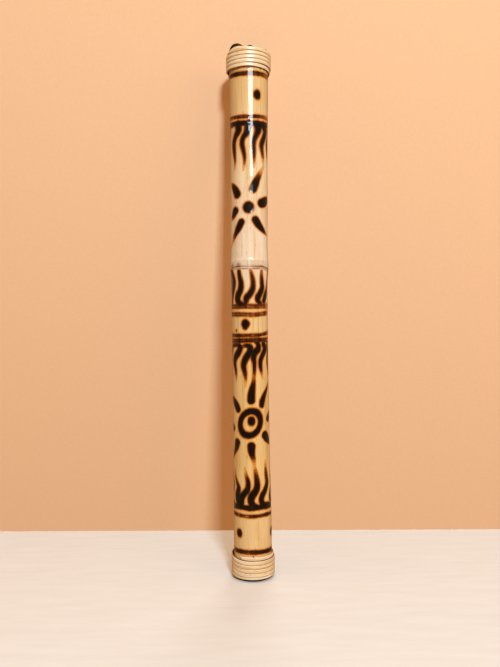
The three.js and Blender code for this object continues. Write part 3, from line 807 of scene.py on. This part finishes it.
foot_skirt = FOOT_RIM_SHOWS + (FOOT_TURNS - 1) * CANE_PITCH - SKIRT_GAP
top_skirt = TOP_RIM_SHOWS + (TOP_TURNS - 1) * CANE_PITCH - SKIRT_GAP
foot_head = rubber_head("foot_head", head_profile(FOOT_RADIUS, foot_skirt), False, foot_lift)
top_head = rubber_head("top_head", head_profile(UPPER_END_RADIUS, top_skirt), True, top_lift)
for head, stood_for in ((foot_head, "rubber_head_foot"), (top_head, "rubber_head_top")):
    head.data.materials.append(sheet_rubber)
    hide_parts(stood_for)
    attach(head, "stick")

# The cane bindings: one split strand wound round each head, flat inside and rounded outside.
# Each turn lies level and steps down on the left, and both ends are cut to fill the wedge.

CANE_WIDTH = 5.35
CANE_THICKNESS = 1.9
CANE_GAP = 0.5
SEAT_GAP = 0.1
STEP_BEARING, STEP_ARC, LIFT_ARC, END_ARC = -140, 120, 60, 40
# Degrees between a strand's points, and millimetres along it for each degree
CANE_STATION, CANE_PER_DEGREE = 3, 0.52
NOSE_LENGTH = 5
SHOULDER_BEARING, SHOULDER_REACH = -38, 24
SIDE_SHARE = 0.24

split_cane, tree, surface = finish_named("split cane")
strand = together(tree, *(value_of(tree, title) for title in ("along", "over", "round")))
long_fibres = fibres_in(tree, strand, (28, 2600, 2600), 5)
broad = fibres_in(tree, strand, (14, 420, 420), 3)
flecks = fibres_in(tree, strand, (150, 1500, 1500), 2)
straw = ramp(tree, broad, [
    (0.3, tone(226, 180, 120)), (0.46, tone(244, 214, 170)), (0.66, tone(251, 233, 204)),
])[0]
thread = ramp(tree, long_fibres, [(0.36, (0.56, 0.38, 0.2)), (0.52, (1, 1, 1))])[0]
straw = blended(tree, 0.45, straw, thread, "MULTIPLY")
straw = blended(tree, spanned(tree, flecks, 0.64, 0.74, 0, 0.6), straw, tone(126, 76, 36))
# The strands' sides darken towards brown: painted shade in the grooves between the turns
edges = spanned(tree, value_of(tree, "out"), 0.82, 0.42)
plug(tree, surface, {
    "Base Color": blended(tree, edges, straw, tone(130, 70, 24)),
    "Roughness": spanned(tree, long_fibres, 0, 1, 0.3, 0.5),
    "Normal": bumped(tree, long_fibres, 0.5, 0.00015),
    "Coat Weight": 0.55, "Coat Roughness": 0.14})


def stored(tree, geometry, title, value):
    return node(tree, "GeometryNodeStoreNamedAttribute", {
        "Geometry": geometry, "Name": title, "Value": value}, data_type="FLOAT",
        domain="POINT").outputs[0]


# The strand's section is a circle bent to a half round, set by the strand's own measures:
# bearing, upper and lower edge, and the radius that it lies on
cane_tree, given, made = node_group("Geometry", "strand", {
    "Geometry": None, "Section points": 22, "Thickness": 0.0019, "Bow": 0.0016, "Length": 0.75,
    "Rim rounding": 0.004, "Roughness": 0.00012, "Seed": 1, "Material": None}, "Geometry")
circle = node(cane_tree, "GeometryNodeCurvePrimitiveCircle", {
    "Resolution": given["Section points"], "Radius": 1.0})
flat_place = apart(cane_tree, node(cane_tree, "GeometryNodeInputPosition").outputs[0])
section = stored(cane_tree, circle.outputs[0], "side", flat_place[0])
section = stored(cane_tree, section, "front", flat_place[1])
line = node(cane_tree, "GeometryNodeMeshToCurve", {0: given["Geometry"]})
tube = node(cane_tree, "GeometryNodeCurveToMesh", {
    "Curve": line.outputs[0], "Profile Curve": section, "Fill Caps": True}).outputs[0]

add, less, times, calc = sums_in(cane_tree)
measure = partial(named, cane_tree)
side, front = measure("side"), measure("front")
side = times(calc("SIGN", side), calc("POWER", calc("ABSOLUTE", side), 0.5))
outward = calc("MAXIMUM", front, 0)
back = calc("POWER", outward, 0.62)
inside = calc("POWER", calc("MAXIMUM", times(front, -1), 0), 0.45)
out = less(add(SIDE_SHARE, times(back, 1 - SIDE_SHARE)), times(inside, SIDE_SHARE))
high, low = measure("high"), measure("low")
half = times(less(high, low), 0.5)
over = times(half, side)
rise = add(times(add(high, low), 0.5), over)
uneven = node(cane_tree, "ShaderNodeTexNoise", {
    "Vector": together(cane_tree, times(measure("along"), 90), side, given["Seed"]),
    "Scale": 1, "Detail": 2}).outputs[0]
dent = times(uneven, given["Roughness"])

# Past the start of the culm's rim the strand leans in over the rounding
rounding = given["Rim rounding"]
past = calc("MAXIMUM", less(rounding, rise), less(rise, less(given["Length"], rounding)))
past = calc("MINIMUM", calc("MAXIMUM", past, 0), rounding)
lean = less(rounding, calc("SQRT", less(times(rounding, rounding), times(past, past))))
full = times(given["Thickness"], measure("nose"))
stand = less(add(measure("seat"), times(full, out)),
             add(times(lean, outward), times(dent, back)))
turn = measure("turn")
bend = calc("SINE", calc("DIVIDE", times(rise, math.pi), given["Length"]))
bend = times(times(bend, bend), given["Bow"])
placed = together(cane_tree, less(times(stand, calc("SINE", turn)), bend),
                  times(times(stand, -1), calc("COSINE", turn)), rise)
around = add(times(out, given["Thickness"]), times(given["Seed"], 0.1))
for title, value in (("out", out), ("over", over), ("round", around)):
    tube = stored(cane_tree, tube, title, value)
tube = node(cane_tree, "GeometryNodeSetPosition", {
    "Geometry": tube, "Position": placed}).outputs[0]
end_tree(cane_tree, tube, given["Material"], made)


def wound(name, top, turns, start, lift, seed, raised, thickness, rounding, shoulder):
    """A strand between two level edges, from its start down to its end."""
    bottom = top - turns * CANE_PITCH + CANE_GAP + raised
    end = STEP_BEARING + turns * 360 + END_ARC
    bearing = np.linspace(start, end, round((end - start) / CANE_STATION))
    past = bearing - STEP_BEARING
    turn = np.floor(past / 360)
    drop = turn - 1 + eased(past - turn * 360, 0, STEP_ARC)
    high = np.minimum(top, top - drop * CANE_PITCH) + shoulder * hump(
        bearing, SHOULDER_BEARING, SHOULDER_REACH)
    low = np.maximum(bottom, top - drop * CANE_PITCH - CANE_WIDTH)
    run = (bearing - start) * CANE_PER_DEGREE
    from_end = np.minimum(run, run[-1] - run)
    nose = np.sqrt(1 - (1 - np.clip(from_end / NOSE_LENGTH + 0.03, 0, 1)) ** 2)
    middle, half = (high + low) / 2, (high - low) / 2 * nose
    seat = culm_radius(middle) + CLEARANCE + lift(bearing) * (RUBBER + CLEARANCE) + SEAT_GAP
    line = [(i * 0.5, 0, 0) for i in range(len(bearing))]
    strand = mesh_piece(name, line, [])
    strand.data.edges.add(len(line) - 1)
    for i, edge in enumerate(strand.data.edges):
        edge.vertices = (i, i + 1)
    for title, values in (("turn", np.radians(bearing)), ("high", (middle + half) * MM),
                          ("low", (middle - half) * MM), ("seat", seat * MM),
                          ("nose", 0.35 + 0.65 * nose), ("along", run * MM)):
        give_values(strand, title, values)
    worked_out(strand, cane_tree, Seed=seed, Thickness=thickness * MM,
               Rim_rounding=rounding * MM, Material=split_cane)
    return strand


# The strand lies on the rubber except at its free edge, where it comes down on to the culm
top_end = STEP_BEARING + STEP_ARC + (TOP_TURNS - 1) * 360
foot_step = STEP_BEARING + 360
top_cane = wound(
    "top_cane", LENGTH - TOP_RIM_SHOWS, TOP_TURNS, -75,
    lambda b: 1 - eased(b, top_end, top_end + LIFT_ARC),
    seed=1, raised=0, thickness=2.45, rounding=1.7, shoulder=2.8)
foot_cane = wound(
    "foot_cane", FOOT_RIM_SHOWS + FOOT_TURNS * CANE_PITCH - CANE_GAP, FOOT_TURNS, -40,
    lambda b: eased(b, foot_step - LIFT_ARC, foot_step),
    seed=2, raised=1.9, thickness=CANE_THICKNESS, rounding=4, shoulder=0)
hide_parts("cane_binding_top")
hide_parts("cane_binding_foot")
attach(top_cane, "stick")
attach(foot_cane, "stick")

# The tacks: one small darkened nail at the free edge of each binding, driven into the culm
# so that its domed head laps over the cane and keeps the strand's end down.

TACK_INSET, TACK_DEPTH, TACK_POINT = 0.8, 4, 1.2
TACK_SIDES = 24
TACKS = (("top_tack", "binding_tack_top", 34,
          LENGTH - TOP_RIM_SHOWS - TOP_TURNS * CANE_PITCH + CANE_GAP - TACK_INSET),
         ("foot_tack", "binding_tack_foot", 0,
          FOOT_RIM_SHOWS + FOOT_TURNS * CANE_PITCH - CANE_GAP + TACK_INSET))

dark_steel, tree, surface = finish_named("darkened steel")
tarnish = fibres_in(tree, object_place(tree), (2400, 2400, 2400), 4)
plug(tree, surface, {
    "Base Color": ramp(tree, tarnish, [
        (0.3, tone(40, 33, 28)), (0.55, tone(74, 62, 52)), (0.8, tone(112, 92, 74)),
    ])[0],
    "Roughness": spanned(tree, tarnish, 0, 1, 0.3, 0.6), "Metallic": 0.85})

for name, stood_for, at, z in TACKS:
    foot, cap = culm_radius(z) - TACK_DEPTH, culm_radius(z) + CANE_THICKNESS
    section = [(0.08, foot), (0.5, foot + TACK_POINT), (0.5, cap), (0.9, cap),
               (1.0, cap + 0.12), (0.94, cap + 0.26), (0.7, cap + 0.4), (0.4, cap + 0.48),
               (0.08, cap + 0.5)]
    r, out_by, spin = turned(section, TACK_SIDES)
    spin, away = np.radians(spin), math.radians(at)
    sideways, rise = r * np.cos(spin), r * np.sin(spin)
    points = np.stack([out_by * math.sin(away) + sideways * math.cos(away) + bow_at(z),
                       -out_by * math.cos(away) + sideways * math.sin(away), z + rise], 1)
    tack = mesh_piece(name, points, closed_faces(len(section), TACK_SIDES))
    tack.data.materials.append(dark_steel)
    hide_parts(stood_for)
    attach(tack, "stick")

# The stage: a pale floor that holds the stick's shadow, and a board that slants behind it as the
# wall in the photo does. A cool key throws the shadow, warm and plain lamps fill in, and three
# boxes show only as reflections down the varnish.

FLOOR_RADIUS, BACKDROP_RADIUS = 2600, 5000
BACKDROP_HEIGHTS = -4000, 6000
ROUND = np.radians(range(0, 360, 5))


def seen_from_front(tree, surface):
    """Lets the back of a sheet through, so that it never stands in a camera's way."""
    behind = node(tree, "ShaderNodeNewGeometry").outputs["Backfacing"]
    clear = node(tree, "ShaderNodeBsdfTransparent").outputs[0]
    shown = node(tree, "ShaderNodeMixShader", {0: behind, 1: surface.outputs[0], 2: clear})
    tree.links.new(shown.outputs[0], tree.nodes["Material Output"].inputs["Surface"])


def unseen_by(piece, *rays):
    for ray in rays:
        setattr(piece, f"visible_{ray}", False)


def stage_piece(name, points, light, dark, squeeze):
    """A pale sheet that shows on its front only."""
    sheet = mesh_piece(name, points, [range(len(points))], smooth=False)
    material, tree, surface = finish_named(f"pale {name}")
    patchy = fibres_in(tree, object_place(tree), squeeze, 5)
    plug(tree, surface, {
        "Base Color": ramp(tree, patchy, [(0.35, dark), (0.65, light)])[0],
        "Roughness": 0.9, "Specular IOR Level": 0.1})
    seen_from_front(tree, surface)
    sheet.data.materials.append(material)
    return sheet


floor = stage_piece(
    "floor", [(FLOOR_RADIUS * math.cos(a), FLOOR_RADIUS * math.sin(a), 0) for a in ROUND],
    tone(231, 230, 232), tone(227, 225, 226), (12, 70, 9))
unseen_by(floor, "glossy", "diffuse")
board = stage_piece(
    "board", [(-560, 219, 0), (560, 191, 0), (560, -16, 960), (-560, 12, 960)],
    tone(243, 200, 161), tone(241, 196, 156), (300, 300, 300))
unseen_by(board, "glossy", "diffuse", "shadow")

# A round backdrop far behind, which only the camera sees
hangings = [(BACKDROP_RADIUS * math.sin(a), -BACKDROP_RADIUS * math.cos(a), z)
            for z in BACKDROP_HEIGHTS for a in ROUND]
backdrop = mesh_piece("backdrop", hangings, ring_faces(2, len(ROUND), False)[:, ::-1],
                      smooth=False)
backdrop_finish, tree, surface = finish_named("pale backdrop")
plug(tree, surface, {
    "Base Color": (0, 0, 0, 1), "Specular IOR Level": 0,
    "Emission Color": tone(244, 208, 174), "Emission Strength": 1})
seen_from_front(tree, surface)
backdrop.data.materials.append(backdrop_finish)
unseen_by(backdrop, "glossy", "diffuse", "shadow")

world = bpy.data.worlds.new("studio")
bpy.context.scene.world = world
world.use_nodes = True
sky = world.node_tree.nodes["Background"]
sky.inputs["Color"].default_value = (1.0, 0.56, 0.25, 1)
sky.inputs["Strength"].default_value = 0.38


def soft_box(name, place, aim, size, power, colour=(1, 1, 1)):
    lamp = bpy.data.lights.new(name, "AREA")
    lamp.shape = "RECTANGLE"
    lamp.size, lamp.size_y = size
    lamp.energy = power
    lamp.color = colour
    box = bpy.data.objects.new(name, lamp)
    box.location = place
    box.rotation_euler = (Vector(aim) - Vector(place)).to_track_quat("-Z", "Y").to_euler()
    bpy.context.scene.collection.objects.link(box)
    return box


for name, place, aim, size, power in (
        ("box_above_camera", (0.16, -0.9, 1.085), (0, 0, 0.65), (0.44, 0.31), 10),
        ("box_middle", (0.225, -0.9, 0.88), (0, 0, 0.6), (0.30, 0.13), 2.8),
        ("box_lower_edge", (0.21, -0.9, 0.775), (0, 0, 0.5), (0.3, 0.09), 0.4)):
    soft_box(name, place, aim, size, power, (0.94, 0.97, 1.0)).visible_diffuse = False
WARM, PLAIN, COOL = (1.0, 0.68, 0.38), (1.0, 0.97, 0.92), (0.78, 0.92, 1.0)
for name, place, size, power, colour in (
        ("key", (0.6, -3.12, 2.09), (0.48, 0.48), 114, COOL),
        ("right", (2.6, -2.2, 0.9), (2.2, 1.6), 22, WARM),
        ("left", (-3.2, -0.6, 1.0), (2.2, 1.6), 11, WARM),
        ("behind", (0.9, 5.0, 2.3), (2.6, 2.0), 130, PLAIN),
        ("overhead", (0, -0.6, 3.4), (2.2, 1.6), 30, WARM)):
    soft_box(name, place, (0, 0, 0.4), size, power, colour).visible_glossy = False

# The photo's camera: its place and turn, and its focal length in pixels of a 500-wide picture
FOCAL_PIXELS, PICTURE_WIDTH, SENSOR = 608.9, 500, 36
camera = bpy.data.objects.new("camera", bpy.data.cameras.new("camera"))
camera.data.sensor_fit = "HORIZONTAL"
camera.data.sensor_width = SENSOR
camera.data.lens = FOCAL_PIXELS * SENSOR / PICTURE_WIDTH
camera.matrix_world = (
    Matrix.Translation((-0.0088, -0.880, 0.3377))
    @ Matrix.Rotation(math.radians(-0.477), 4, "Z")
    @ Matrix.Rotation(math.radians(90.618), 4, "X")
    @ Matrix.Rotation(math.radians(-0.55), 4, "Z"))
bpy.context.scene.collection.objects.link(camera)
bpy.context.scene.camera = camera
bpy.context.scene.view_settings.view_transform = "Standard"
